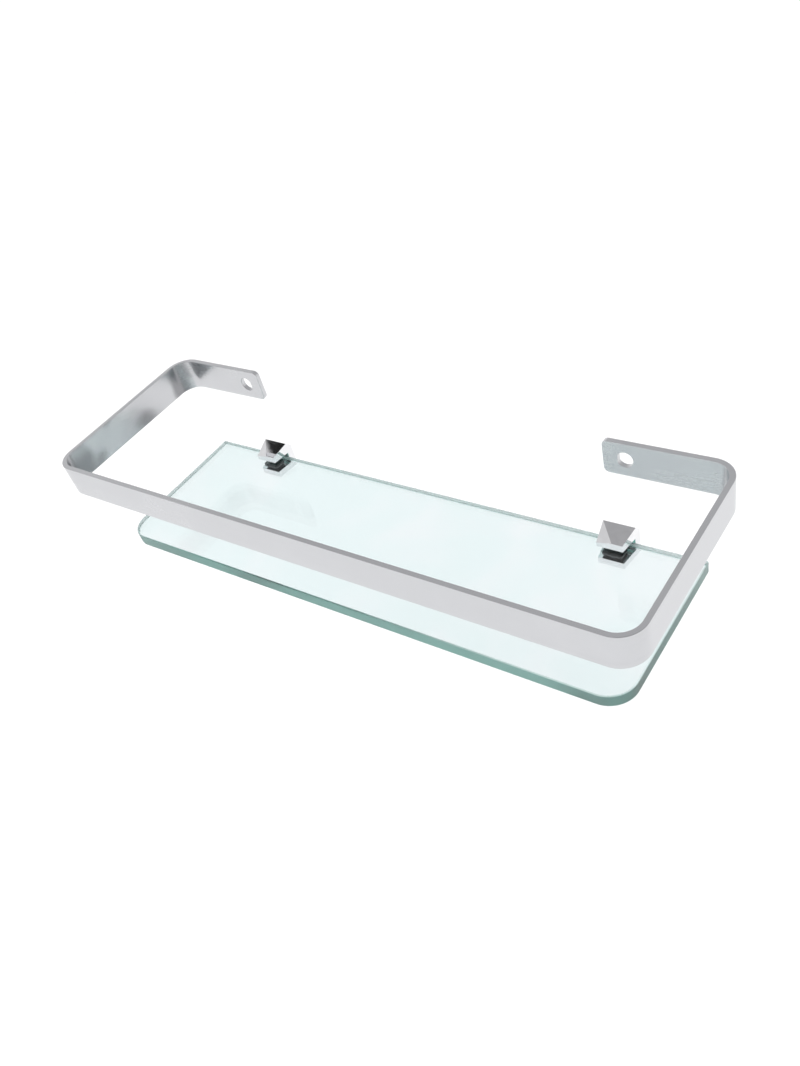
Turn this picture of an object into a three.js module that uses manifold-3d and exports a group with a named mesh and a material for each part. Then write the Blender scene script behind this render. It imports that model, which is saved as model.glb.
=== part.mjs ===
// Wall shelf: a clear glass plate held at its back edge by two die-cast clamps, and a bent flat-bar
// guard rail that is fixed to the wall above it.
//
// Millimetres, +Z up. The wall is the plane y = 0 and the shelf stands out of it towards -Y.
// The origin is on the wall, midway between the clamps, level with the middle of the glass.
import * as THREE from "three";
import { ConvexGeometry } from "three/addons/geometries/ConvexGeometry.js";
import { mergeVertices } from "three/addons/utils/BufferGeometryUtils.js";
import Module from "manifold-3d";

const wasm = await Module();
wasm.setup();

// Running and resting clearance between neighbouring pieces.
const GAP = 0.1;

// Glass plate.
const GLASS_WIDTH = 350;
const GLASS_DEPTH = 100;
const GLASS_THICKNESS = 8;
const GLASS_CORNER_RADIUS = 15;
const GLASS_ARRIS = 0.6;
const GLASS_WALL_GAP = 6;

// Guard rail: one flat bar with four bends and a screw hole in each returned end.
const BAR_HEIGHT = 20;
const BAR_THICKNESS = 3;
const RAIL_WIDTH = 380;
const RAIL_DEPTH = 119;
const RAIL_TOP_OVER_GLASS = 62.5;
const RAIL_BEND_RADIUS = 14;
const RAIL_END_GAP = 238;
const RAIL_TIP_RADIUS = 3;
const RAIL_HOLE_RADIUS = 4.5;
const RAIL_HOLE_FROM_TIP = 12;

// Clamp body: back wall, hooded upper jaw and lower jaw with the clamp screw's thread.
const CLIP_SPACING = 250;
const CLIP_DEPTH = 16.5;
const CLIP_BACK_WIDTH = 19.6;
const CLIP_FRONT_WIDTH = 15.2;
const CLIP_WALL = 4.6;
const UPPER_PAD_THICKNESS = 1;
const LIP_HEIGHT = 2.6;
const CREST_HEIGHT = 4.3;
const FACET_REACH = 9;
const RIDGE_HEIGHT = 7;
const RIDGE_FROM_WALL = 3.5;
const HOOD_BACK_HEIGHT = 3.6;
const LOWER_JAW_THICKNESS = 5.6;
const LOWER_JAW_CHAMFER = 1.6;
const WALL_SCREW_RADIUS = 2.2;
const WALL_SCREW_HEAD_RADIUS = 4.2;

// Clamp screw and its pressure shoe.
const SCREW_RADIUS = 2.5;
const SCREW_LENGTH = 7.8;
const SCREW_FROM_WALL = 11.2;
const SCREW_CHAMFER = 0.4;
const DOG_POINT_RADIUS = 1.5;
const DOG_POINT_LENGTH = 0.5;
const HEX_ACROSS_FLATS = 2.5;
const HEX_DEPTH = 2.4;
const SHOE_WIDTH = 12;
const SHOE_DEPTH = 8.4;
const SHOE_THICKNESS = 1.5;
const SHOE_RECESS_DEPTH = 0.6;
const SHOE_TRAVEL = 1.2;

// Clear cushions between metal and glass.
const PAD_WIDTH = 14;
const UPPER_PAD_DEPTH = 9;
const EDGE_PAD_HEIGHT = 7;
const PAD_CORNER_RADIUS = 1.5;

// How finely round shapes are faceted.
const BEND_STEPS = 12;
const ROUND_STEPS = 32;

// Levels worked out from the sizes above.
const GLASS_TOP = GLASS_THICKNESS / 2;
const GLASS_BOTTOM = -GLASS_THICKNESS / 2;
const RAIL_TOP = GLASS_TOP + RAIL_TOP_OVER_GLASS;
const RAIL_BOTTOM = RAIL_TOP - BAR_HEIGHT;
const UPPER_JAW_BOTTOM = GLASS_TOP + UPPER_PAD_THICKNESS + 2 * GAP;
const SHOE_TOP = GLASS_BOTTOM - GAP;
const SHOE_BOTTOM = SHOE_TOP - SHOE_THICKNESS;
const LOWER_JAW_TOP = SHOE_BOTTOM - SHOE_TRAVEL - 2 * GAP;
const LOWER_JAW_BOTTOM = LOWER_JAW_TOP - LOWER_JAW_THICKNESS;

// Finishes.
const FINISHES = {
  glass: { color: 0xd8eeea, roughness: 0.04, metalness: 0, transparent: true, opacity: 0.4 },
  aluminium: { color: 0xcfd0d4, roughness: 0.28, metalness: 1 },
  chrome: { color: 0xd9d9dc, roughness: 0.08, metalness: 1 },
  cushion: { color: 0xe9eeee, roughness: 0.35, metalness: 0, transparent: true, opacity: 0.7 },
  nylon: { color: 0x232424, roughness: 0.5, metalness: 0 },
  steel: { color: 0x8f9296, roughness: 0.35, metalness: 1 },
};

// A named mesh with its own material.
function piece(name, geometry, finish) {
  const mesh = new THREE.Mesh(geometry, new THREE.MeshStandardMaterial(FINISHES[finish]));
  mesh.name = name;
  return mesh;
}

// A closed geometry as a solid that can be joined and cut.
function solid(geometry) {
  const bare = geometry.clone();
  bare.deleteAttribute("normal");
  bare.deleteAttribute("uv");
  const merged = mergeVertices(bare, 1e-4);
  return new wasm.Manifold(
    new wasm.Mesh({
      numProp: 3,
      vertProperties: merged.attributes.position.array,
      triVerts: new Uint32Array(merged.index.array),
    }),
  );
}

// A solid as a geometry that can be drawn.
function geometryOf(body) {
  const mesh = body.getMesh();
  const geometry = new THREE.BufferGeometry();
  geometry.setAttribute("position", new THREE.BufferAttribute(mesh.vertProperties, 3));
  geometry.setIndex(new THREE.BufferAttribute(mesh.triVerts, 1));
  geometry.computeVertexNormals();
  return geometry;
}

// A flat outline in X and Y, drawn up from one level to another.
function upright(shape, bottom, top) {
  const geometry = new THREE.ExtrudeGeometry(shape, {
    depth: top - bottom,
    bevelEnabled: false,
    curveSegments: BEND_STEPS,
  });
  return geometry.translate(0, 0, bottom);
}

// A flat outline in X and Z, drawn through from one depth to another.
function through(shape, front, back) {
  const geometry = new THREE.ExtrudeGeometry(shape, {
    depth: back - front,
    bevelEnabled: false,
    curveSegments: BEND_STEPS,
  });
  return geometry.rotateX(Math.PI / 2).translate(0, back, 0);
}

// A round bar or cutter along Z between two levels.
function roundZ(radius, bottom, top, x, y) {
  const geometry = new THREE.CylinderGeometry(radius, radius, top - bottom, ROUND_STEPS);
  return geometry.rotateX(Math.PI / 2).translate(x, y, (top + bottom) / 2);
}

// A round bar or cutter along Y, which may taper from its front to its back.
function roundY(frontRadius, backRadius, front, back, x, z) {
  const geometry = new THREE.CylinderGeometry(backRadius, frontRadius, back - front, ROUND_STEPS);
  return geometry.translate(x, (front + back) / 2, z);
}

// A rectangle with all four corners rounded.
function roundedRectangle(left, low, width, height, radius) {
  const right = left + width;
  const high = low + height;
  const shape = new THREE.Shape();
  shape.moveTo(left + radius, low);
  shape.lineTo(right - radius, low);
  shape.absarc(right - radius, low + radius, radius, -Math.PI / 2, 0, false);
  shape.lineTo(right, high - radius);
  shape.absarc(right - radius, high - radius, radius, 0, Math.PI / 2, false);
  shape.lineTo(left + radius, high);
  shape.absarc(left + radius, high - radius, radius, Math.PI / 2, Math.PI, false);
  shape.lineTo(left, low + radius);
  shape.absarc(left + radius, low + radius, radius, Math.PI, 1.5 * Math.PI, false);
  return shape;
}

// The glass: square corners at the wall, rounded corners in front, and ground arrises all round.
function glassShelf() {
  const half = GLASS_WIDTH / 2 - GLASS_ARRIS;
  const back = -GLASS_WALL_GAP - GLASS_ARRIS;
  const front = -GLASS_WALL_GAP - GLASS_DEPTH + GLASS_ARRIS;
  const radius = GLASS_CORNER_RADIUS - GLASS_ARRIS;
  const outline = new THREE.Shape();
  outline.moveTo(-half, back);
  outline.lineTo(-half, front + radius);
  outline.absarc(-half + radius, front + radius, radius, Math.PI, 1.5 * Math.PI, false);
  outline.lineTo(half - radius, front);
  outline.absarc(half - radius, front + radius, radius, 1.5 * Math.PI, 2 * Math.PI, false);
  outline.lineTo(half, back);
  outline.closePath();
  const geometry = new THREE.ExtrudeGeometry(outline, {
    depth: GLASS_THICKNESS - 2 * GLASS_ARRIS,
    bevelEnabled: true,
    bevelThickness: GLASS_ARRIS,
    bevelSize: GLASS_ARRIS,
    bevelSegments: 1,
    curveSegments: 2 * BEND_STEPS,
  });
  geometry.translate(0, 0, GLASS_BOTTOM + GLASS_ARRIS);
  return piece("glass_shelf", geometryOf(solid(geometry)), "glass");
}

// The bar's outline seen from above, from one returned end round to the other and back.
function railOutline() {
  const outer = RAIL_BEND_RADIUS;
  const inner = outer - BAR_THICKNESS;
  const right = RAIL_WIDTH / 2 - outer;
  const back = -outer;
  const front = -RAIL_DEPTH + outer;
  const tip = RAIL_END_GAP / 2;
  const quarter = Math.PI / 2;
  const outline = new THREE.Shape();
  outline.moveTo(-tip, 0);
  outline.lineTo(-right, 0);
  outline.absarc(-right, back, outer, quarter, 2 * quarter, false);
  outline.lineTo(-right - outer, front);
  outline.absarc(-right, front, outer, 2 * quarter, 3 * quarter, false);
  outline.lineTo(right, front - outer);
  outline.absarc(right, front, outer, 3 * quarter, 4 * quarter, false);
  outline.lineTo(right + outer, back);
  outline.absarc(right, back, outer, 0, quarter, false);
  outline.lineTo(tip, 0);
  outline.lineTo(tip, -BAR_THICKNESS);
  outline.lineTo(right, -BAR_THICKNESS);
  outline.absarc(right, back, inner, quarter, 0, true);
  outline.lineTo(right + inner, front);
  outline.absarc(right, front, inner, 0, -quarter, true);
  outline.lineTo(-right, front - inner);
  outline.absarc(-right, front, inner, -quarter, -2 * quarter, true);
  outline.lineTo(-right - inner, back);
  outline.absarc(-right, back, inner, 2 * quarter, quarter, true);
  outline.lineTo(-tip, -BAR_THICKNESS);
  outline.closePath();
  return outline;
}

// What is cut off a bar end's corner to round it: the corner square less its quarter circle.
function tipCorner(side, level) {
  const tip = (side * RAIL_END_GAP) / 2;
  const edge = level > 0 ? RAIL_TOP : RAIL_BOTTOM;
  const over = 1;
  const corner = new THREE.Shape();
  const centreX = tip + side * RAIL_TIP_RADIUS;
  const centreZ = edge - level * RAIL_TIP_RADIUS;
  const start = side > 0 ? Math.PI : 0;
  const turn = side * level > 0 ? -1 : 1;
  corner.moveTo(tip - side * over, centreZ);
  corner.lineTo(tip, centreZ);
  corner.absarc(centreX, centreZ, RAIL_TIP_RADIUS, start, start + (turn * Math.PI) / 2, turn < 0);
  corner.lineTo(centreX, edge + level * over);
  corner.lineTo(tip - side * over, edge + level * over);
  corner.closePath();
  return solid(through(corner, -BAR_THICKNESS - over, over));
}

// The guard rail: the bent bar, its two screw holes and its rounded end corners.
function guardRail() {
  let bar = solid(upright(railOutline(), RAIL_BOTTOM, RAIL_TOP));
  const middle = (RAIL_TOP + RAIL_BOTTOM) / 2;
  for (const side of [-1, 1]) {
    const x = side * (RAIL_END_GAP / 2 + RAIL_HOLE_FROM_TIP);
    const reach = BAR_THICKNESS + 1;
    bar = bar.subtract(solid(roundY(RAIL_HOLE_RADIUS, RAIL_HOLE_RADIUS, -reach, 1, x, middle)));
    bar = bar.subtract(tipCorner(side, 1)).subtract(tipCorner(side, -1));
  }
  return piece("guard_rail", geometryOf(bar), "aluminium");
}

// Half of the clamp's width at a distance from the wall: its sides draw in towards the front.
function clipHalfWidth(fromWall) {
  const share = fromWall / CLIP_DEPTH;
  return (CLIP_BACK_WIDTH + (CLIP_FRONT_WIDTH - CLIP_BACK_WIDTH) * share) / 2;
}

// The convex block round a set of points, moved along X.
function convexBlock(points, x) {
  const moved = points.map(([px, py, pz]) => new THREE.Vector3(x + px, py, pz));
  return solid(new ConvexGeometry(moved));
}

// A convex block from points given for the right-hand half and mirrored to the left.
function mirroredBlock(points, x) {
  const mirrored = points.map(([px, py, pz]) => [-px, py, pz]);
  return convexBlock([...points, ...mirrored], x);
}

// The upper jaw's hood: a ridge a little way from the wall, a slope that falls from it to a crest over
// the front lip, a short slope back to the wall, and one facet cut down to the lip's left corner.
function hood(x) {
  const front = -CLIP_DEPTH;
  const back = clipHalfWidth(0);
  const corner = clipHalfWidth(CLIP_DEPTH);
  const top = clipHalfWidth(RIDGE_FROM_WALL);
  const ridge = UPPER_JAW_BOTTOM + RIDGE_HEIGHT;
  const crest = UPPER_JAW_BOTTOM + CREST_HEIGHT;
  const behind = UPPER_JAW_BOTTOM + HOOD_BACK_HEIGHT;
  return convexBlock(
    [
      [-back, 0, UPPER_JAW_BOTTOM],
      [back, 0, UPPER_JAW_BOTTOM],
      [-corner, front, UPPER_JAW_BOTTOM],
      [corner, front, UPPER_JAW_BOTTOM],
      [-back, 0, behind],
      [back, 0, behind],
      [-top, -RIDGE_FROM_WALL, ridge],
      [top, -RIDGE_FROM_WALL, ridge],
      [-corner, front, UPPER_JAW_BOTTOM + LIP_HEIGHT],
      [FACET_REACH - corner, front, crest],
      [corner, front, crest],
    ],
    x,
  );
}

// The lower jaw: a block with its lower edges chamfered.
function lowerJaw(x) {
  const front = -CLIP_DEPTH;
  const chamfer = LOWER_JAW_CHAMFER;
  return mirroredBlock(
    [
      [clipHalfWidth(0), 0, LOWER_JAW_TOP],
      [clipHalfWidth(CLIP_DEPTH), front, LOWER_JAW_TOP],
      [clipHalfWidth(0), 0, LOWER_JAW_BOTTOM + chamfer],
      [clipHalfWidth(CLIP_DEPTH), front, LOWER_JAW_BOTTOM + chamfer],
      [clipHalfWidth(0) - chamfer, 0, LOWER_JAW_BOTTOM],
      [clipHalfWidth(CLIP_DEPTH) - chamfer, front + chamfer, LOWER_JAW_BOTTOM],
    ],
    x,
  );
}

// The back wall that joins the jaws, between their facing sides.
function backWall(x) {
  return mirroredBlock(
    [
      [clipHalfWidth(0), 0, LOWER_JAW_TOP],
      [clipHalfWidth(CLIP_WALL), -CLIP_WALL, LOWER_JAW_TOP],
      [clipHalfWidth(0), 0, UPPER_JAW_BOTTOM],
      [clipHalfWidth(CLIP_WALL), -CLIP_WALL, UPPER_JAW_BOTTOM],
    ],
    x,
  );
}

// A clamp body with its countersunk wall-screw hole and the clamp screw's hole.
function clipBody(name, x) {
  const reach = 1;
  const sink = WALL_SCREW_HEAD_RADIUS - WALL_SCREW_RADIUS;
  const screwHole = roundZ(
    SCREW_RADIUS + GAP,
    LOWER_JAW_BOTTOM - reach,
    LOWER_JAW_TOP + reach,
    x,
    -SCREW_FROM_WALL,
  );
  const body = hood(x)
    .add(backWall(x))
    .add(lowerJaw(x))
    .subtract(solid(roundY(WALL_SCREW_RADIUS, WALL_SCREW_RADIUS, -CLIP_WALL - reach, reach, x, 0)))
    .subtract(
      solid(
        roundY(WALL_SCREW_HEAD_RADIUS, WALL_SCREW_RADIUS, -CLIP_WALL, -CLIP_WALL + sink, x, 0),
      ),
    )
    .subtract(solid(screwHole));
  return piece(name, geometryOf(body), "chrome");
}

// The clear pad under the upper jaw.
function upperPad(name, x) {
  const back = -GLASS_WALL_GAP - GAP;
  const low = back - UPPER_PAD_DEPTH;
  const shape = roundedRectangle(
    x - PAD_WIDTH / 2,
    low,
    PAD_WIDTH,
    UPPER_PAD_DEPTH,
    PAD_CORNER_RADIUS,
  );
  const bottom = GLASS_TOP + GAP;
  const geometry = upright(shape, bottom, bottom + UPPER_PAD_THICKNESS);
  return piece(name, geometryOf(solid(geometry)), "cushion");
}

// The clear pad between the glass's back edge and the clamp's back wall.
function edgePad(name, x) {
  const shape = roundedRectangle(
    x - PAD_WIDTH / 2,
    -EDGE_PAD_HEIGHT / 2,
    PAD_WIDTH,
    EDGE_PAD_HEIGHT,
    PAD_CORNER_RADIUS,
  );
  const geometry = through(shape, -GLASS_WALL_GAP + GAP, -CLIP_WALL - GAP);
  return piece(name, geometryOf(solid(geometry)), "cushion");
}

// The shoe that the clamp screw presses against the glass, with a recess for the screw's point.
function pressureShoe(name, x) {
  const shape = roundedRectangle(
    x - SHOE_WIDTH / 2,
    -SCREW_FROM_WALL - SHOE_DEPTH / 2,
    SHOE_WIDTH,
    SHOE_DEPTH,
    PAD_CORNER_RADIUS,
  );
  const recess = roundZ(
    DOG_POINT_RADIUS + GAP,
    SHOE_BOTTOM - 1,
    SHOE_BOTTOM + SHOE_RECESS_DEPTH,
    x,
    -SCREW_FROM_WALL,
  );
  const body = solid(upright(shape, SHOE_BOTTOM, SHOE_TOP)).subtract(solid(recess));
  return piece(name, geometryOf(body), "nylon");
}

// The clamp screw: a headless screw with a dog point above and a hexagon socket below.
function clampScrew(name, x) {
  const top = SHOE_BOTTOM - GAP;
  const bottom = top - SCREW_LENGTH;
  const profile = [
    [0, bottom],
    [SCREW_RADIUS - SCREW_CHAMFER, bottom],
    [SCREW_RADIUS, bottom + SCREW_CHAMFER],
    [SCREW_RADIUS, top - SCREW_CHAMFER],
    [SCREW_RADIUS - SCREW_CHAMFER, top],
    [DOG_POINT_RADIUS, top],
    [DOG_POINT_RADIUS, top + DOG_POINT_LENGTH],
    [0, top + DOG_POINT_LENGTH],
  ].map(([r, z]) => new THREE.Vector2(r, z));
  const turned = new THREE.LatheGeometry(profile, ROUND_STEPS).rotateX(Math.PI / 2);
  turned.translate(x, -SCREW_FROM_WALL, 0);
  const hexRadius = HEX_ACROSS_FLATS / Math.sqrt(3);
  const socket = new THREE.CylinderGeometry(hexRadius, hexRadius, HEX_DEPTH + 1, 6);
  socket.rotateX(Math.PI / 2).translate(x, -SCREW_FROM_WALL, bottom + (HEX_DEPTH - 1) / 2);
  return piece(name, geometryOf(solid(turned).subtract(solid(socket))), "steel");
}

// One clamp with everything that belongs to it.
function clip(side, x) {
  const group = new THREE.Group();
  group.add(
    clipBody(side + "_clip_body", x),
    upperPad(side + "_upper_pad", x),
    edgePad(side + "_edge_pad", x),
    pressureShoe(side + "_pressure_shoe", x),
    clampScrew(side + "_clamp_screw", x),
  );
  return group;
}

const shelf = new THREE.Group();
shelf.add(
  glassShelf(),
  guardRail(),
  clip("left", -CLIP_SPACING / 2),
  clip("right", CLIP_SPACING / 2),
);

export default shelf;
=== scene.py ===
import math

import bmesh
import bpy
import numpy as np
from mathutils import Matrix, Vector


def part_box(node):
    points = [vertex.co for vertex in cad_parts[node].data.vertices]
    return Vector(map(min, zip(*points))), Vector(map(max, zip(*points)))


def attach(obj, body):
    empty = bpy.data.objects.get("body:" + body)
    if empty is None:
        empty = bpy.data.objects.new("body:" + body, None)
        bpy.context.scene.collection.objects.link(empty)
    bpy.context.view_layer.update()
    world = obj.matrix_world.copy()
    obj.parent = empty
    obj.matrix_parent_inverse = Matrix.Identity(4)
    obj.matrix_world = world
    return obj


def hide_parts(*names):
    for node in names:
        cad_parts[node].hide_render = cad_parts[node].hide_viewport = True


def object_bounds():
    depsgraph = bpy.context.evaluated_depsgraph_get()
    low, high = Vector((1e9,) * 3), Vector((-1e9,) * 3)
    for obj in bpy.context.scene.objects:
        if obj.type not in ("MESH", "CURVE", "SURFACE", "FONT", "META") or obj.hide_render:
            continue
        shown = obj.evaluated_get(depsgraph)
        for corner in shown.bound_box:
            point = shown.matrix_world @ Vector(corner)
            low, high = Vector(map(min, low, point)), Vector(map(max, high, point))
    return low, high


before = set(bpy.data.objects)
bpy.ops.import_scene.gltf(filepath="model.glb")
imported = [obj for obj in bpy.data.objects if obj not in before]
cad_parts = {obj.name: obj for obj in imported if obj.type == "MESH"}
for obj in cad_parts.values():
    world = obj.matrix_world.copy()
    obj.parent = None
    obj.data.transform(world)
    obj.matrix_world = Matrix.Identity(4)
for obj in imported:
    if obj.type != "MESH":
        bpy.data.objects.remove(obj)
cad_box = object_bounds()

MM = 0.001
SIDES = ("left", "right")

# ---------------------------------------------------------------- sizes that the looks add to the CAD

RAIL_THICKNESS = 3.0 * MM
RAIL_BEND_RADIUS = 14.0 * MM
RAIL_END_GAP = 238.0 * MM
RAIL_TIP_RADIUS = 3.0 * MM
RAIL_HOLE_RADIUS = 4.5 * MM
RAIL_HOLE_FROM_TIP = 12.0 * MM
RAIL_END_PATCH = 24.0 * MM
RAIL_EDGE_ROUNDING = 0.35 * MM
RAIL_CREASE = 40.0
RAIL_ROWS = 8
RAIL_STEP = 5.0 * MM
BEND_STEPS = 28
EDGE_SEGMENTS = 3

GLASS_FRONT_RADIUS = 15.0 * MM
GLASS_BACK_RADIUS = 1.0 * MM
GLASS_ARRIS = 0.6 * MM
GLASS_EDGE_ROUNDING = 0.12 * MM
GLASS_CREASE = 12.0

CLIP_EDGE_ROUNDING = 0.2 * MM
CLIP_CREASE = 12.0

PAD_CORNER_RADIUS = 1.5 * MM
PAD_EDGE_ROLL = 0.35 * MM
PAD_BULGE = 0.06 * MM

SHOE_EDGE_ROUNDING = 0.2 * MM
SHOE_CREASE = 30.0

THREAD_PITCH = 0.8 * MM
THREAD_DEPTH = 0.42 * MM
SCREW_CHAMFER = 0.4 * MM
DOG_POINT_RADIUS = 1.5 * MM
DOG_POINT_LENGTH = 0.5 * MM
HEX_ACROSS_FLATS = 2.5 * MM
HEX_DEPTH = 2.4 * MM
SCREW_EASE = 0.08 * MM
SCREW_END_RING = 1.62 * MM
THREAD_RUN_OUT = 0.2 * MM
THREAD_FADE = 0.5 * MM
SCREW_FACETS = 72
THREAD_LEVELS = 121
SCREW_CREASE = 38.0


# ---------------------------------------------------------------- mesh helpers

def make_piece(name, points, faces, uv=None):
    """A mesh object from points (n x 3) and faces; uv is one (u, v) pair per point. Equal points merge."""
    points = np.asarray(points, float).reshape(-1, 3)
    _, first, merged = np.unique(np.round(points / 1e-7), axis=0, return_index=True, return_inverse=True)
    merged = merged.reshape(-1)
    kept_faces, kept_corners = [], []
    for face in faces:
        corners = [int(c) for c in face]
        loop = [(int(merged[c]), c) for c in corners]
        loop = [pair for i, pair in enumerate(loop) if pair[0] != loop[i - 1][0]]
        if len(loop) > 2:
            kept_faces.append([vertex for vertex, _ in loop])
            kept_corners.extend(corner for _, corner in loop)
    mesh = bpy.data.meshes.new(name)
    mesh.from_pydata(points[first].tolist(), [], kept_faces)
    if uv is not None:
        layer = mesh.uv_layers.new(name="surface")
        layer.data.foreach_set("uv", np.asarray(uv, np.float32)[kept_corners].ravel())
    mesh.validate()
    mesh.shade_smooth()
    piece = bpy.data.objects.new(name, mesh)
    bpy.context.scene.collection.objects.link(piece)
    return piece


def grid_faces(rows, columns, close_columns=False, start=0):
    """Quads of a rows x columns grid of points stored row by row, with each row closed where asked."""
    i = np.arange(rows - 1)
    j = np.arange(columns if close_columns else columns - 1)
    i, j = (a.ravel() for a in np.meshgrid(i, j, indexing="ij"))
    here, below, across = i * columns, (i + 1) * columns, (j + 1) % columns
    quads = np.stack([here + j, here + across, below + across, below + j], axis=1)
    return (quads + start).tolist()


def arc(centre, radius, start, end, steps):
    """Points on a circle arc: centre + radius * (cos t, sin t), t going evenly from start to end degrees."""
    t = np.radians(np.linspace(start, end, steps + 1))
    return np.stack([centre[0] + radius * np.cos(t), centre[1] + radius * np.sin(t)], axis=1)


def finish_shading(piece, angle):
    """Smooth shading that stays crisp where two faces meet at more than angle degrees."""
    piece.data.set_sharp_from_angle(angle=math.radians(angle))


def soften_edges(piece, width, angle):
    """A live bevel on every edge sharper than angle degrees, with the flat faces kept flat."""
    bevel = piece.modifiers.new("eased edges", "BEVEL")
    bevel.width = width
    bevel.segments = EDGE_SEGMENTS
    bevel.limit_method = "ANGLE"
    bevel.angle_limit = math.radians(angle)
    bevel.use_clamp_overlap = True
    bevel.harden_normals = True
    bevel.miter_outer = "MITER_ARC"


# ---------------------------------------------------------------- guard rail

def rail_line():
    """The bar's outer line seen from above, from the left tip round to the right tip: straight runs
    joined by quarter circles of the bend radius, with straight runs cut into even steps."""
    low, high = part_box("guard_rail")
    radius = RAIL_BEND_RADIUS
    tip = RAIL_END_GAP / 2
    left, right = low.x + radius, high.x - radius
    front, back = low.y + radius, high.y - radius
    corners = [
        arc((left, back), radius, 90, 180, BEND_STEPS),
        arc((left, front), radius, 180, 270, BEND_STEPS),
        arc((right, front), radius, 270, 360, BEND_STEPS),
        arc((right, back), radius, 0, 90, BEND_STEPS),
    ]
    stretches = [np.array([[-tip, high.y]]), *corners, np.array([[tip, high.y]])]
    line = [stretches[0]]
    for stretch in stretches[1:]:
        start, end = line[-1][-1], stretch[0]
        steps = max(2, int(np.ceil(np.linalg.norm(end - start) / RAIL_STEP)))
        share = np.linspace(0, 1, steps + 1)[1:, None]
        line.append(start + (end - start) * share)
        line.append(stretch[1:])
    return np.concatenate(line)


def rail_end(patch_length, height):
    """One flat end with its screw hole, in (along, up). Rings run from the hole's rim to the outline:
    point = rim + (outline - rim) * share, rim = centre + radius * unit(outline - centre)."""
    r = RAIL_TIP_RADIUS
    rows = np.linspace(0, height, RAIL_ROWS + 1)
    along = np.linspace(patch_length, r, 9)
    outline = np.concatenate([
        np.stack([np.full(RAIL_ROWS + 1, patch_length), rows], axis=1),
        np.stack([along[1:], np.full(8, height)], axis=1),
        arc((r, height - r), r, 90, 180, 6)[1:],
        arc((r, r), r, 180, 270, 6),
        np.stack([along[::-1][1:-1], np.zeros(7)], axis=1),
    ])
    centre = np.array([RAIL_HOLE_FROM_TIP, height / 2])
    ray = outline - centre
    rim = centre + RAIL_HOLE_RADIUS * ray / np.linalg.norm(ray, axis=1, keepdims=True)
    share = np.linspace(0, 1, 5)[:, None, None]
    return rim + (outline - rim) * share


def build_guard_rail():
    """The bar as a thin sheet on its outer face, bent along rail_line, then given its thickness inwards
    by Solidify and its eased edges by Bevel. The UV map holds metres along and across the bar."""
    low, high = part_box("guard_rail")
    height = high.z - low.z
    line = rail_line()
    station = np.concatenate([[0], np.cumsum(np.linalg.norm(np.diff(line, axis=0), axis=1))])
    length = station[-1]
    patch_length = RAIL_END_PATCH
    inner = station[(station > patch_length + 1e-6) & (station < length - patch_length - 1e-6)]
    columns = np.concatenate([[patch_length], inner, [length - patch_length]])
    rows = np.linspace(0, height, RAIL_ROWS + 1)
    body = np.stack(np.meshgrid(columns, rows), axis=-1)
    left = rail_end(patch_length, height)
    right = left * [-1, 1] + [length, 0]
    flat = np.concatenate([part.reshape(-1, 2) for part in (body, left, right)])
    rings, around = left.shape[:2]
    faces = grid_faces(*body.shape[:2])
    faces += [face[::-1] for face in grid_faces(rings, around, close_columns=True, start=body.size // 2)]
    faces += grid_faces(rings, around, close_columns=True, start=(body.size + left.size) // 2)
    along, up = flat.T
    points = np.stack([np.interp(along, station, line[:, 0]), np.interp(along, station, line[:, 1]),
                       low.z + up], axis=1)
    piece = make_piece("bent_flat_bar", points, faces, uv=flat)
    thickness = piece.modifiers.new("bar thickness", "SOLIDIFY")
    thickness.thickness = RAIL_THICKNESS
    thickness.offset = -1
    thickness.use_even_offset = True
    soften_edges(piece, RAIL_EDGE_ROUNDING, RAIL_CREASE)
    return piece


# ---------------------------------------------------------------- glass plate

def build_glass():
    """A plate whose edge is a profile carried round its plan outline. A point is the outline's own point
    moved inwards along the outline's normal by the profile's inset, at the profile's height."""
    low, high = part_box("glass_shelf")
    f, b = GLASS_FRONT_RADIUS, GLASS_BACK_RADIUS
    corners = [
        ((high.x - b, high.y - b), b, 0, 90, 6),
        ((low.x + b, high.y - b), b, 90, 180, 6),
        ((low.x + f, low.y + f), f, 180, 270, 36),
        ((high.x - f, low.y + f), f, 270, 360, 36),
    ]
    outline = np.concatenate([arc(*corner) for corner in corners])
    outward = np.concatenate([arc((0, 0), 1, start, end, steps) for _, _, start, end, steps in corners])
    half = (high.z - low.z) / 2
    edge = GLASS_EDGE_ROUNDING
    upper = np.array([
        [GLASS_ARRIS + edge, half],
        [GLASS_ARRIS - edge * 0.2, half - edge * 0.35],
        [edge * 0.35, half - GLASS_ARRIS + edge * 0.2],
        [0, half - GLASS_ARRIS - edge],
    ])
    profile = np.concatenate([upper, upper[::-1] * [1, -1]])
    inset, level = profile.T
    plan = outline[None] - outward[None] * inset[:, None, None]
    height = np.broadcast_to((low.z + high.z) / 2 + level[:, None, None], (*plan.shape[:2], 1))
    points = np.concatenate([plan, height], axis=2).reshape(-1, 3)
    rows, columns = plan.shape[:2]
    faces = [face[::-1] for face in grid_faces(rows, columns, close_columns=True)]
    faces.append(list(range(columns)))
    faces.append(list(range((rows - 1) * columns, rows * columns))[::-1])
    piece = make_piece("glass_plate", points, faces)
    finish_shading(piece, GLASS_CREASE)
    return piece


# ---------------------------------------------------------------- clamps

def cad_copy(node, name):
    """A merged copy of a CAD node's mesh, with its flat faces put back together from their triangles."""
    work = bmesh.new()
    work.from_mesh(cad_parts[node].data)
    bmesh.ops.remove_doubles(work, verts=work.verts, dist=1e-6)
    bmesh.ops.dissolve_limit(work, angle_limit=math.radians(0.5), verts=work.verts, edges=work.edges)
    work.verts.ensure_lookup_table()
    points = [tuple(vertex.co) for vertex in work.verts]
    faces = [[vertex.index for vertex in face.verts] for face in work.faces]
    work.free()
    return make_piece(name, points, faces)


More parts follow.
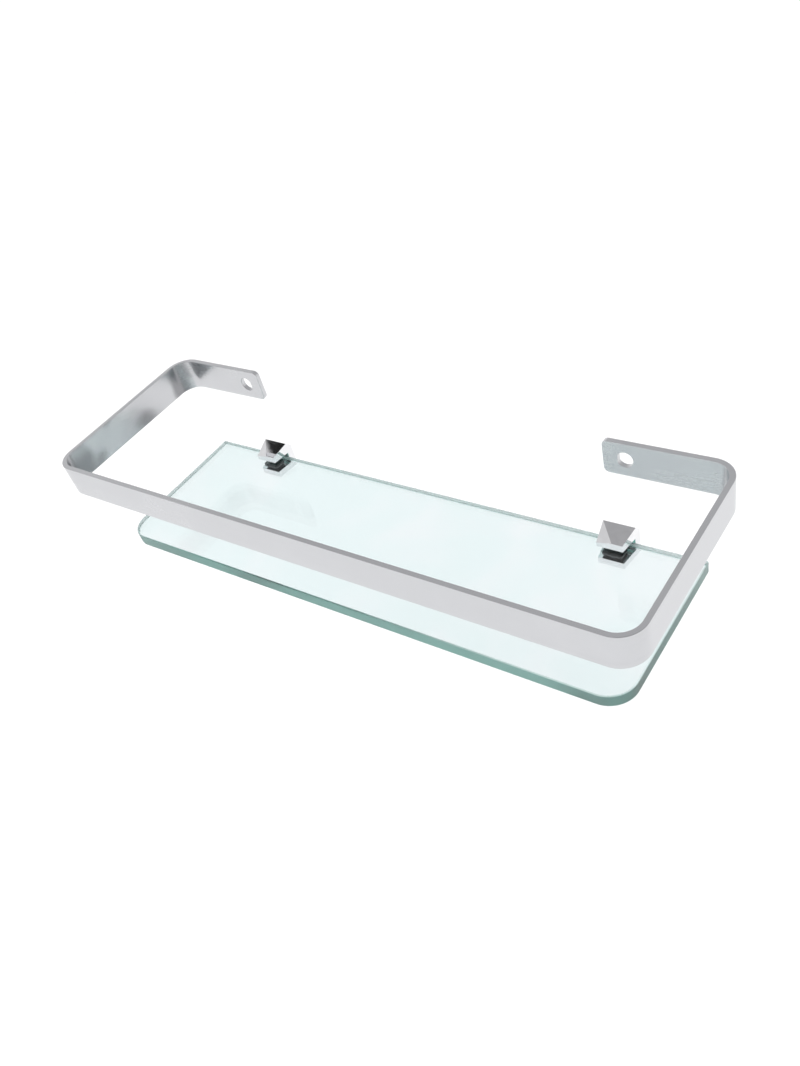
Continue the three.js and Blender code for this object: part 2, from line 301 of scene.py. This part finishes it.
def build_clip_body(side):
    """The die-cast clamp body with the softened edges that plating leaves."""
    piece = cad_copy(side + "_clip_body", side + "_clamp_casting")
    finish_shading(piece, CLIP_CREASE)
    soften_edges(piece, CLIP_EDGE_ROUNDING, CLIP_CREASE)
    return piece


def build_slab(name, node, axis):
    """A soft slab with rounded corners and rolled edges. Seen along axis its outline is a rounded
    rectangle; the profile from one face to the other is half an ellipse of width PAD_EDGE_ROLL, and both
    faces stand proud in the middle by PAD_BULGE, so that the slab is that much thinner at its rim."""
    corner, roll, bulge = PAD_CORNER_RADIUS, PAD_EDGE_ROLL, PAD_BULGE
    low, high = (np.array(v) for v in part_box(node))
    across = [i for i in range(3) if i != axis]
    middle, half = (low + high) / 2, (high - low) / 2
    a, b = half[across]
    quarter = [((a - corner, b - corner), 0), ((corner - a, b - corner), 90),
               ((corner - a, corner - b), 180), ((a - corner, corner - b), 270)]
    outline = np.concatenate([arc(c, corner, t, t + 90, 8) for c, t in quarter])
    outward = np.concatenate([arc((0, 0), 1, t, t + 90, 8) for _, t in quarter])
    thin = half[axis] - bulge
    turn = np.radians(np.linspace(90, -90, 9))
    inset = np.concatenate([np.linspace(0.98, 0.1, 8) * (corner - roll) + roll, roll * (1 - np.cos(turn)),
                            np.linspace(0.1, 0.98, 8) * (corner - roll) + roll])
    crown = 1 - (1 - np.clip((inset - roll) / (corner - roll), 0, 1)) ** 2
    rolled = np.concatenate([np.ones(8), np.sin(turn), -np.ones(8)])
    level = rolled * thin + np.sign(rolled) * crown * bulge
    plan = outline[None] - outward[None] * inset[:, None, None]
    points = np.zeros((*plan.shape[:2], 3))
    points[..., across] = plan + middle[across]
    points[..., axis] = middle[axis] + level[:, None]
    rows, columns = plan.shape[:2]
    flip = -1 if axis != 1 else 1
    faces = [face[::flip] for face in grid_faces(rows, columns, close_columns=True)]
    faces.append(list(range(columns))[::-flip])
    faces.append(list(range((rows - 1) * columns, rows * columns))[::flip])
    return make_piece(name, points.reshape(-1, 3), faces)


def build_shoe(side):
    """The moulded pressure shoe with eased edges."""
    piece = cad_copy(side + "_pressure_shoe", side + "_nylon_shoe")
    soften_edges(piece, SHOE_EDGE_ROUNDING, SHOE_CREASE)
    return piece


def build_screw(side):
    """A headless M5 screw as one closed surface of (turn, step down its profile).
    The thread's radius is crest - depth * dip(z / pitch - turn), where dip is a flattened triangle wave that
    fades out at both ends. The socket's wall goes from the circle to a hexagon: r = apothem / cos(angle
    from the nearest flat)."""
    low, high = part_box(side + "_clamp_screw")
    x, y = (low.x + high.x) / 2, (low.y + high.y) / 2
    crest = (high.x - low.x) / 2
    shoulder = high.z - DOG_POINT_LENGTH
    turn = np.linspace(0, 2 * np.pi, SCREW_FACETS + 1)[:-1]
    shaft_levels = np.linspace(shoulder, low.z, THREAD_LEVELS)
    ease = SCREW_EASE
    point = [[0, high.z], [DOG_POINT_RADIUS * 0.6, high.z], [DOG_POINT_RADIUS - ease, high.z],
             [DOG_POINT_RADIUS, high.z - ease], [DOG_POINT_RADIUS, shoulder + ease],
             [DOG_POINT_RADIUS + ease, shoulder]]
    floor_level = low.z + HEX_DEPTH

    z, t = np.meshgrid(shaft_levels, turn, indexing="ij")
    phase = (z / THREAD_PITCH - t / (2 * np.pi)) % 1
    dip = np.clip(np.abs(2 * phase - 1) * 1.35 - 0.1, 0, 1)
    from_end = np.minimum(shoulder - z, z - low.z)
    fade = np.clip((from_end - THREAD_RUN_OUT) / THREAD_FADE, 0, 1)
    shaft = crest - THREAD_DEPTH * dip * fade
    shaft = np.minimum(shaft, crest - SCREW_CHAMFER + from_end)

    apothem = HEX_ACROSS_FLATS / 2
    hexagon = apothem / np.cos((turn + np.pi / 6) % (np.pi / 3) - np.pi / 6)
    circle = np.ones_like(turn)
    radii = [r * circle for r, _ in point]
    levels = [z * circle for _, z in point]
    radii += list(shaft)
    levels += [z * circle for z in shaft_levels]
    radii += [SCREW_END_RING * circle, hexagon + ease, hexagon, hexagon, hexagon * 0.97, 0 * circle]
    levels += [low.z * circle, low.z * circle, (low.z + ease) * circle, (floor_level - ease) * circle,
               floor_level * circle, floor_level * circle]
    radii, levels = np.array(radii), np.array(levels)
    points = np.stack([x + radii * np.cos(turn), y + radii * np.sin(turn), levels], axis=2)
    rows, columns = radii.shape
    faces = grid_faces(rows, columns, close_columns=True)
    piece = make_piece(side + "_grub_screw", points.reshape(-1, 3), [f[::-1] for f in faces])
    finish_shading(piece, SCREW_CREASE)
    return piece


# ---------------------------------------------------------------- material helpers

class Nodes:
    """A short way to add and join the nodes of one tree."""

    def __init__(self, tree):
        self.tree = tree

    def add(self, kind, **values):
        node = self.tree.nodes.new(kind)
        for name, value in values.items():
            setattr(node, name, value)
        return node

    def feed(self, socket, value):
        if isinstance(value, bpy.types.NodeSocket):
            self.tree.links.new(value, socket)
        else:
            socket.default_value = value

    def math(self, operation, a, b=0.0):
        node = self.add("ShaderNodeMath", operation=operation)
        self.feed(node.inputs[0], a)
        self.feed(node.inputs[1], b)
        return node.outputs[0]

    def spread(self, value, low, high, to_low=0.0, to_high=1.0):
        """value from low..high to to_low..to_high, with soft ends."""
        node = self.add("ShaderNodeMapRange", interpolation_type="SMOOTHSTEP")
        for name, number in zip(("From Min", "From Max", "To Min", "To Max"), (low, high, to_low, to_high)):
            self.feed(node.inputs[name], number)
        self.feed(node.inputs["Value"], value)
        return node.outputs["Result"]

    def noise(self, vector, scale, detail=2.0, roughness=0.5, distortion=0.0):
        node = self.add("ShaderNodeTexNoise")
        self.feed(node.inputs["Vector"], vector)
        for name, value in (("Scale", scale), ("Detail", detail), ("Roughness", roughness),
                            ("Distortion", distortion)):
            self.feed(node.inputs[name], value)
        return node.outputs["Fac"]

    def stretched(self, vector, scale):
        """vector with each axis multiplied by scale."""
        node = self.add("ShaderNodeVectorMath", operation="MULTIPLY")
        self.feed(node.inputs[0], vector)
        self.feed(node.inputs[1], scale)
        return node.outputs[0]

    def mixed(self, share, first, second):
        node = self.add("ShaderNodeMix", data_type="RGBA")
        self.feed(node.inputs["Factor"], share)
        self.feed(node.inputs[6], first)
        self.feed(node.inputs[7], second)
        return node.outputs[2]

    def bump(self, height, distance):
        node = self.add("ShaderNodeBump")
        self.feed(node.inputs["Strength"], 1.0)
        self.feed(node.inputs["Distance"], distance)
        self.feed(node.inputs["Height"], height)
        return node.outputs["Normal"]

    def group(self, tree, **values):
        node = self.add("ShaderNodeGroup", node_tree=tree)
        for name, value in values.items():
            self.feed(node.inputs[name], value)
        return node


def new_group(name, inputs, outputs):
    """An empty shader node group with the named sockets; returns it, its Nodes, and its two end nodes."""
    tree = bpy.data.node_groups.new(name, "ShaderNodeTree")
    for label, kind, default in inputs:
        socket = tree.interface.new_socket(label, in_out="INPUT", socket_type=kind)
        if default is not None:
            socket.default_value = default
    for label, kind in outputs:
        tree.interface.new_socket(label, in_out="OUTPUT", socket_type=kind)
    nodes = Nodes(tree)
    return tree, nodes, nodes.add("NodeGroupInput").outputs, nodes.add("NodeGroupOutput").inputs


def drawn_grain_group():
    """Fine lines along the first axis of Vector, as drawing or brushing leaves: noise stretched to Line
    Length by Line Width, at two widths. Lines goes from 0 to 1."""
    tree, n, given, result = new_group(
        "drawn grain",
        [("Vector", "NodeSocketVector", None), ("Line Width", "NodeSocketFloat", 0.0003),
         ("Line Length", "NodeSocketFloat", 0.04)],
        [("Lines", "NodeSocketFloat")])
    across = n.math("DIVIDE", 1.0, given["Line Width"])
    along = n.math("DIVIDE", 1.0, given["Line Length"])
    combine = n.add("ShaderNodeCombineXYZ")
    n.feed(combine.inputs[0], along)
    n.feed(combine.inputs[1], across)
    n.feed(combine.inputs[2], across)
    stretched = n.stretched(given["Vector"], combine.outputs[0])
    fine = n.noise(stretched, 1.0, detail=3.0, roughness=0.65)
    broad = n.noise(stretched, 0.21, detail=1.0)
    n.feed(result["Lines"], n.spread(n.math("ADD", n.math("MULTIPLY", fine, 0.65),
                                            n.math("MULTIPLY", broad, 0.35)), 0.32, 0.68))
    return tree


def handling_group():
    """What hands and cloths leave: cloudy smears and a few hairline scratches. Smears and Scratches
    both go from 0 to 1."""
    tree, n, given, result = new_group(
        "handling marks",
        [("Vector", "NodeSocketVector", None), ("Smear Size", "NodeSocketFloat", 0.03),
         ("Scratch Size", "NodeSocketFloat", 0.012)],
        [("Smears", "NodeSocketFloat"), ("Scratches", "NodeSocketFloat")])
    smear_scale = n.math("DIVIDE", 1.0, given["Smear Size"])
    cloud = n.noise(given["Vector"], smear_scale, detail=4.0, roughness=0.55, distortion=0.6)
    n.feed(result["Smears"], n.spread(cloud, 0.42, 0.72))
    scratch_scale = n.math("DIVIDE", 1.0, given["Scratch Size"])
    cells = n.add("ShaderNodeTexVoronoi", feature="DISTANCE_TO_EDGE")
    bent = n.add("ShaderNodeVectorMath", operation="ADD")
    wander = n.add("ShaderNodeTexNoise")
    n.feed(wander.inputs["Vector"], given["Vector"])
    n.feed(wander.inputs["Scale"], n.math("MULTIPLY", scratch_scale, 0.7))
    n.feed(bent.inputs[0], given["Vector"])
    n.feed(bent.inputs[1], n.stretched(wander.outputs["Color"], (0.01, 0.01, 0.01)))
    n.feed(cells.inputs["Vector"], bent.outputs[0])
    n.feed(cells.inputs["Scale"], scratch_scale)
    line = n.spread(cells.outputs["Distance"], 0.0, 0.02, 1.0, 0.0)
    rare = n.spread(n.noise(given["Vector"], n.math("MULTIPLY", scratch_scale, 0.5)), 0.52, 0.7)
    n.feed(result["Scratches"], n.math("MULTIPLY", line, rare))
    return tree


def new_material(name):
    """A node material; returns it, its Nodes, its Principled shader and the Object and UV vectors."""
    material = bpy.data.materials.new(name)
    material.use_nodes = True
    nodes = Nodes(material.node_tree)
    shader = material.node_tree.nodes["Principled BSDF"]
    place = nodes.add("ShaderNodeTexCoord")
    return material, nodes, shader, place.outputs["Object"], place.outputs["UV"]


def inside_patches(n, place):
    """A mask of darker patches on the inward face of the left arm. They are painted on and stand in for the
    dark surroundings that a polished bar mirrors, so they stay in place from every side. Soft noise about
    40 mm across, kept where the face looks towards +X and lies left of the middle."""
    facing, at = n.add("ShaderNodeSeparateXYZ"), n.add("ShaderNodeSeparateXYZ")
    n.feed(facing.inputs[0], n.add("ShaderNodeNewGeometry").outputs["True Normal"])
    n.feed(at.inputs[0], place)
    faces_right = n.spread(facing.outputs["X"], 0.3, 0.8)
    lies_left = n.spread(at.outputs["X"], -0.15, -0.18)
    inward = n.math("MULTIPLY", faces_right, lies_left)
    patches = n.spread(n.noise(place, 26.0, detail=1.5, distortion=0.8), 0.5, 0.68)
    return n.math("MULTIPLY", inward, n.math("MULTIPLY", patches, 0.8))


def rail_metal(grain, handling):
    """Polished aluminium bar with a faint drawn grain along it."""
    material, n, shader, place, along = new_material("polished drawn aluminium")
    lines = n.group(grain, Vector=along, **{"Line Width": 0.00022, "Line Length": 0.05}).outputs["Lines"]
    marks = n.group(handling, Vector=place, **{"Smear Size": 0.035, "Scratch Size": 0.02})
    smears, scratches = marks.outputs["Smears"], marks.outputs["Scratches"]
    tone = n.math("ADD", n.math("MULTIPLY", lines, 0.6), n.math("MULTIPLY", smears, 0.4))
    clean = n.mixed(tone, (0.545, 0.55, 0.565, 1), (0.61, 0.615, 0.63, 1))
    n.feed(shader.inputs["Base Color"], n.mixed(inside_patches(n, place), clean, (0.22, 0.22, 0.23, 1)))
    rough = n.math("ADD", n.math("MULTIPLY", lines, 0.04), n.math("MULTIPLY", smears, 0.06))
    n.feed(shader.inputs["Roughness"], n.math("ADD", rough, 0.2))
    shader.inputs["Metallic"].default_value = 1.0
    height = n.math("SUBTRACT", n.math("MULTIPLY", lines, 0.12), n.math("MULTIPLY", scratches, 0.12))
    n.feed(shader.inputs["Normal"], n.bump(height, 0.000008))
    return material


def chrome(handling):
    """Bright chrome over a polished casting: nearly a mirror, with the slight waviness of the casting."""
    material, n, shader, place, _ = new_material("bright chrome plate")
    marks = n.group(handling, Vector=place, **{"Smear Size": 0.008, "Scratch Size": 0.006})
    smears, scratches = marks.outputs["Smears"], marks.outputs["Scratches"]
    n.feed(shader.inputs["Base Color"], n.mixed(smears, (0.80, 0.80, 0.81, 1), (0.86, 0.86, 0.87, 1)))
    n.feed(shader.inputs["Roughness"], n.math("ADD", n.math("MULTIPLY", smears, 0.03), 0.03))
    shader.inputs["Metallic"].default_value = 1.0
    wave = n.noise(place, 260.0, detail=2.0)
    height = n.math("SUBTRACT", n.math("MULTIPLY", wave, 0.25), n.math("MULTIPLY", scratches, 0.02))
    n.feed(shader.inputs["Normal"], n.bump(height, 0.00001))
    return material


def clear_glass(handling, grain):
    """Float glass: clear through its faces, green through its depth, with fine grinding on its edges."""
    material, n, shader, place, _ = new_material("clear float glass")
    shader.inputs["Metallic"].default_value = 0.0
    shader.inputs["Transmission Weight"].default_value = 1.0
    shader.inputs["IOR"].default_value = 1.52
    facing = n.add("ShaderNodeSeparateXYZ")
    geometry = n.add("ShaderNodeNewGeometry")
    n.feed(facing.inputs[0], geometry.outputs["True Normal"])
    upright = n.math("ABSOLUTE", facing.outputs["Z"])
    edge = n.spread(upright, 0.5, 0.99, 1.0, 0.0)
    smears = n.group(handling, Vector=place, **{"Smear Size": 0.05}).outputs["Smears"]
    lines = n.group(grain, Vector=place, **{"Line Width": 0.0005, "Line Length": 0.02}).outputs["Lines"]
    ground = n.math("MULTIPLY", edge, n.math("ADD", n.math("MULTIPLY", lines, 0.15), 0.42))
    n.feed(shader.inputs["Roughness"], n.math("ADD", ground, n.math("MULTIPLY", smears, 0.004)))
    face = n.mixed(smears, (0.82, 0.875, 0.883, 1), (0.875, 0.885, 0.90, 1))
    n.feed(shader.inputs["Base Color"], n.mixed(edge, face, (0.56, 0.70, 0.67, 1)))
    absorb = n.add("ShaderNodeVolumeAbsorption")
    absorb.inputs["Color"].default_value = (0.30, 0.69, 0.64, 1)
    absorb.inputs["Density"].default_value = 13.0
    n.feed(material.node_tree.nodes["Material Output"].inputs["Volume"], absorb.outputs[0])
    return material


def soft_vinyl():
    """Clear soft vinyl: milky, a little rough, faintly mottled."""
    material, n, shader, place, _ = new_material("clear soft vinyl")
    mottle = n.noise(place, 420.0, detail=3.0)
    n.feed(shader.inputs["Base Color"], n.mixed(mottle, (0.86, 0.89, 0.89, 1), (0.94, 0.95, 0.95, 1)))
    n.feed(shader.inputs["Roughness"], n.spread(mottle, 0.3, 0.7, 0.22, 0.38))
    shader.inputs["Transmission Weight"].default_value = 0.75
    shader.inputs["IOR"].default_value = 1.5
    n.feed(shader.inputs["Normal"], n.bump(n.noise(place, 900.0, detail=2.0), 0.00002))
    return material


def nylon():
    """Moulded nylon with a fine eroded texture. Its near-black colour is painted shade for the dark gap
    under the clamp's jaw.
    """
    material, n, shader, place, _ = new_material("black nylon")
    cloud = n.noise(place, 180.0, detail=3.0)
    # painted shade: the near-black base colour stands in for the shade in the gap under the clamp's jaw
    n.feed(shader.inputs["Base Color"], n.mixed(cloud, (0.035, 0.036, 0.036, 1), (0.06, 0.06, 0.06, 1)))
    n.feed(shader.inputs["Roughness"], n.spread(cloud, 0.3, 0.7, 0.42, 0.58))
    n.feed(shader.inputs["Normal"], n.bump(n.noise(place, 2600.0, detail=2.0), 0.00003))
    return material


def zinc_steel():
    """Zinc-plated steel: bluish grey, turned finish, with a cloudy tone and roughness."""
    material, n, shader, place, _ = new_material("zinc plated steel")
    cloud = n.noise(place, 700.0, detail=4.0, roughness=0.6)
    n.feed(shader.inputs["Base Color"], n.mixed(cloud, (0.42, 0.43, 0.46, 1), (0.58, 0.59, 0.61, 1)))
    n.feed(shader.inputs["Roughness"], n.spread(cloud, 0.3, 0.75, 0.24, 0.42))
    shader.inputs["Metallic"].default_value = 1.0
    n.feed(shader.inputs["Normal"], n.bump(n.noise(place, 3200.0, detail=2.0), 0.00002))
    return material


# ---------------------------------------------------------------- studio

CAMERA_PLACE = Vector((0.30778, -0.33922, 0.35907))
CAMERA_FORWARD = Vector((-0.53101, 0.48706, -0.69340))
CAMERA_ROLL = -18.79
CAMERA_LENS = 31.71
CAMERA_RISE = 0.0629
FLOOR_DROP = 0.35
FLOOR_RADIUS = 3.0

ROOM_WHITE = (1.0, 1.0, 1.0, 1)
BACKDROP_WHITE = (1.05, 1.05, 1.05, 1)
CEILING_GREY = (0.43, 0.43, 0.44, 1)
CEILING_LIGHTER = (0.74, 0.74, 0.75, 1)
CEILING_BEHIND = (0.64, 0.64, 0.65, 1)
OPENING_DARK = (0.02, 0.02, 0.02, 1)
OPENING_DIRECTION = (-0.6325, 0.2964, 0.7156)
OPENING_INNER_COSINE = 0.99815
OPENING_OUTER_COSINE = 0.99795
KEY_PLACE, KEY_TARGET, KEY_SIZE, KEY_POWER = (0.5, -1.1, 1.5), (0, -0.05, 0), 1.1, 8.0
OVERHEAD_PLACE, OVERHEAD_TARGET = (-0.8, 0.8, 3.5), (-0.8, 0.8, 0)
OVERHEAD_SIZE, OVERHEAD_POWER = 6.0, 132.0

MAX_BOUNCES = 24
GLOSSY_BOUNCES = 16
TRANSMISSION_BOUNCES = 24


def build_camera():
    """The camera: where it stands, where it looks, and how far it is rolled about that line."""
    data = bpy.data.cameras.new("camera")
    data.sensor_width = 36.0
    data.lens = CAMERA_LENS
    data.shift_y = CAMERA_RISE
    data.clip_start, data.clip_end = 0.01, 60.0
    data.dof.use_dof = False
    camera = bpy.data.objects.new("camera", data)
    look = CAMERA_FORWARD.to_track_quat("-Z", "Y").to_matrix().to_4x4()
    roll = Matrix.Rotation(math.radians(CAMERA_ROLL), 4, "Z")
    camera.matrix_world = Matrix.Translation(CAMERA_PLACE) @ look @ roll
    bpy.context.scene.collection.objects.link(camera)
    bpy.context.scene.camera = camera


def build_floor():
    """A wide pale floor under the shelf."""
    level = cad_box[0].z - FLOOR_DROP
    ring = arc((0, 0), FLOOR_RADIUS, 0, 360, 96)[:-1]
    points = np.column_stack([ring, np.full(len(ring), level)])
    floor = make_piece("floor", points, [list(range(len(ring)))])
    material, n, shader, place, _ = new_material("pale floor")
    cloud = n.noise(place, 3.0, detail=2.0)
    n.feed(shader.inputs["Base Color"], n.mixed(cloud, (0.93, 0.93, 0.93, 1), (0.95, 0.95, 0.95, 1)))
    shader.inputs["Roughness"].default_value = 0.9
    shader.inputs["Specular IOR Level"].default_value = 0.1
    floor.data.materials.append(material)


def area_light(name, place, target, size, power):
    """A square softbox at place that faces target."""
    data = bpy.data.lights.new(name, "AREA")
    data.shape = "SQUARE"
    data.size = size
    data.energy = power
    light = bpy.data.objects.new(name, data)
    light.location = place
    direction = Vector(target) - Vector(place)
    light.rotation_mode = "QUATERNION"
    light.rotation_quaternion = direction.to_track_quat("-Z", "Y")
    light.visible_glossy = False
    light.visible_transmission = False
    bpy.context.scene.collection.objects.link(light)


def build_light():
    """Soft studio light from two softboxes in a pale room. Mirrored, the room has a grey ceiling with one
    small dark opening, placed so that the left clamp's slope mirrors it from this camera. Seen straight or
    through the glass the room is plain white. The softboxes are left out of mirroring and of the view
    through the glass."""
    world = bpy.data.worlds.new("studio")
    bpy.context.scene.world = world
    world.use_nodes = True
    n = Nodes(world.node_tree)
    background = world.node_tree.nodes["Background"]
    direction = n.add("ShaderNodeTexCoord").outputs["Generated"]
    parts = n.add("ShaderNodeSeparateXYZ")
    n.feed(parts.inputs[0], direction)
    ceiling = n.spread(parts.outputs["Z"], 0.25, 0.6)
    lean = n.add("ShaderNodeVectorMath", operation="DOT_PRODUCT")
    n.feed(lean.inputs[0], direction)
    n.feed(lean.inputs[1], (-1.0, -0.8, 0.0))
    lighter = n.spread(lean.outputs["Value"], 0.2, 0.5)
    grey = n.mixed(lighter, CEILING_GREY, CEILING_LIGHTER)
    behind = n.spread(parts.outputs["Y"], 0.36, 0.5)
    grey = n.mixed(behind, grey, CEILING_BEHIND)
    shade = n.mixed(ceiling, ROOM_WHITE, grey)
    toward = n.add("ShaderNodeVectorMath", operation="DOT_PRODUCT")
    n.feed(toward.inputs[0], direction)
    n.feed(toward.inputs[1], OPENING_DIRECTION)
    opening = n.spread(toward.outputs["Value"], OPENING_OUTER_COSINE, OPENING_INNER_COSINE)
    shade = n.mixed(opening, shade, OPENING_DARK)
    path = n.add("ShaderNodeLightPath").outputs
    seen = n.math("MAXIMUM", path["Is Camera Ray"], path["Is Transmission Ray"])
    shade = n.mixed(seen, shade, BACKDROP_WHITE)
    n.feed(background.inputs["Color"], shade)
    background.inputs["Strength"].default_value = 1.0
    area_light("key softbox", KEY_PLACE, KEY_TARGET, KEY_SIZE, KEY_POWER)
    area_light("overhead softbox", OVERHEAD_PLACE, OVERHEAD_TARGET, OVERHEAD_SIZE, OVERHEAD_POWER)


# ---------------------------------------------------------------- assembly

def place_piece(piece, body, node, material):
    """Gives a piece its material, ties it to the body it moves with and hides the CAD node it stands for."""
    piece.data.materials.append(material)
    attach(piece, body)
    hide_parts(node)


build_camera()
grain, handling = drawn_grain_group(), handling_group()
bar_metal = rail_metal(grain, handling)
plate_glass = clear_glass(handling, grain)
clamp_chrome = chrome(handling)
pad_vinyl = soft_vinyl()
shoe_nylon = nylon()
screw_steel = zinc_steel()

place_piece(build_guard_rail(), "root", "guard_rail", bar_metal)
place_piece(build_glass(), "root", "glass_shelf", plate_glass)
for side in SIDES:
    place_piece(build_clip_body(side), "root", side + "_clip_body", clamp_chrome)
    upper = build_slab(side + "_vinyl_top_pad", side + "_upper_pad", 2)
    place_piece(upper, "root", side + "_upper_pad", pad_vinyl)
    back = build_slab(side + "_vinyl_edge_pad", side + "_edge_pad", 1)
    place_piece(back, "root", side + "_edge_pad", pad_vinyl)
    place_piece(build_shoe(side), side + "_shoe", side + "_pressure_shoe", shoe_nylon)
    place_piece(build_screw(side), side + "_screw", side + "_clamp_screw", screw_steel)

build_floor()
build_light()
path_limits = bpy.context.scene.cycles
path_limits.max_bounces = MAX_BOUNCES
path_limits.glossy_bounces = GLOSSY_BOUNCES
path_limits.transmission_bounces = TRANSMISSION_BOUNCES
bpy.context.scene.view_settings.view_transform = "Standard"
